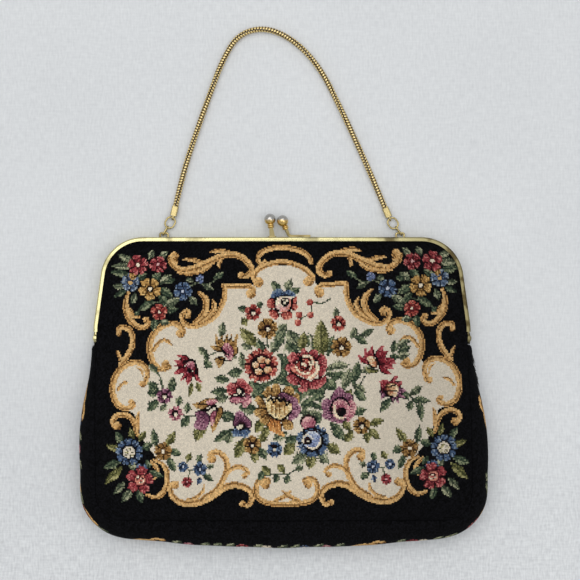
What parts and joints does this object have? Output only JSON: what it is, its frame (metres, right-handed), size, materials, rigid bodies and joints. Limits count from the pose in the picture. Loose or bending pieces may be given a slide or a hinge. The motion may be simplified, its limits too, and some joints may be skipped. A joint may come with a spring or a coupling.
{
  "type": "evening bag",
  "caption": "Tapestry clutch bag with a hinged gold metal frame, ball kiss clasp, gusseted cloth pouch with satin lining and a short chain handle on twisted wire links.",
  "frame": {"origin": "centre of the bag's bounding box without the handle, on the plane that it lies on", "axes": "+X along the frame, +Y from the bottom of the bag towards the clasp, +Z out of the front"},
  "size_m": [0.229, 0.2946, 0.0239],
  "materials": {
    "frame_brass": "gilt, rubbed by use",
    "clasp_brass": "polished, worn gilding",
    "chain_brass": "polished links",
    "tapestry": "fine stitched tapestry",
    "gusset_tapestry": "fine stitched tapestry",
    "lining_satin": "satin"
  },
  "bodies": {
    "back": {"back_frame": "frame_brass", "hinge_rivet_left": "frame_brass", "hinge_rivet_right": "frame_brass", "back_clasp_arm": "frame_brass", "back_clasp_ball": "clasp_brass", "chain_loop_left": "frame_brass", "chain_loop_right": "frame_brass", "back_panel": "tapestry", "gusset": "gusset_tapestry", "back_lining": "lining_satin", "gusset_lining": "lining_satin", "front_panel": "tapestry", "front_lining": "lining_satin"},
    "front": {"front_frame": "frame_brass", "front_clasp_arm": "frame_brass", "front_clasp_ball": "clasp_brass"},
    "handle": {"handle_chain": "chain_brass", "chain_cap_left": "frame_brass", "chain_cap_right": "frame_brass", "chain_link_left": "frame_brass", "chain_link_right": "frame_brass"}
  },
  "joints": [
    {"name": "frame_open", "type": "hinge", "parent": "back", "child": "front", "pos_m": [0, 0.02355, 0.00525], "axis": [1, 0, 0], "range_deg": [0, 80], "deforming": ["front_panel", "front_lining"]},
    {"name": "handle_swing", "type": "hinge", "parent": "back", "child": "handle", "pos_m": [0, 0.08315, 0.002], "axis": [1, 0, 0], "range_deg": [0, 80]}
  ]
}
